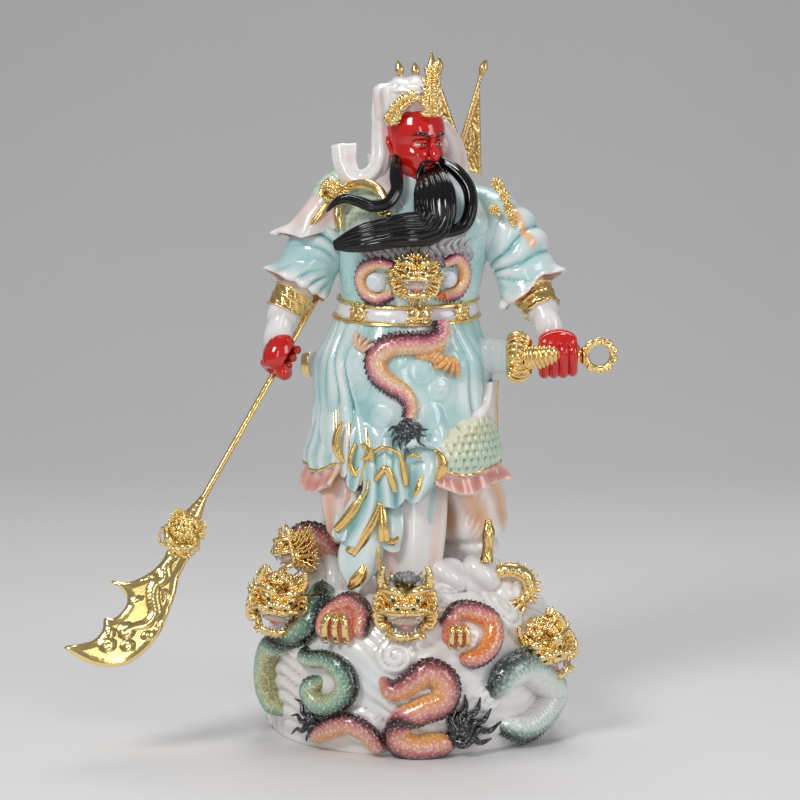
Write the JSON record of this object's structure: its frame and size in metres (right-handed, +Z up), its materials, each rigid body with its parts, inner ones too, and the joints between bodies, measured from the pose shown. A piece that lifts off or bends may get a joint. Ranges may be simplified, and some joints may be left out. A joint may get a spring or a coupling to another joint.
{
  "type": "guan yu statue",
  "caption": "Altar statue of a bearded warrior in robe and armour with a polearm and a sword, standing on a plinth of clouds and dragons; for display on a shrine shelf.",
  "frame": {"origin": "middle of the plinth's flat underside", "axes": "+Z up through the figure, the figure faces -Y, +X to the viewer's right"},
  "size_m": [0.3749, 0.2233, 0.476],
  "materials": {
    "painted_resin": "cast resin with a pearly pale green glaze, painted in pink, orange, grey and red and partly gilt, glossy",
    "gilt": "bright gilding on cast metal, glossy"
  },
  "bodies": {
    "root": {"statue": "painted_resin", "guandao": "gilt", "sword_hilt": "gilt", "back_flag_1": "gilt", "back_flag_2": "gilt", "back_flag_3": "gilt", "back_flag_4": "gilt"}
  },
  "joints": []
}
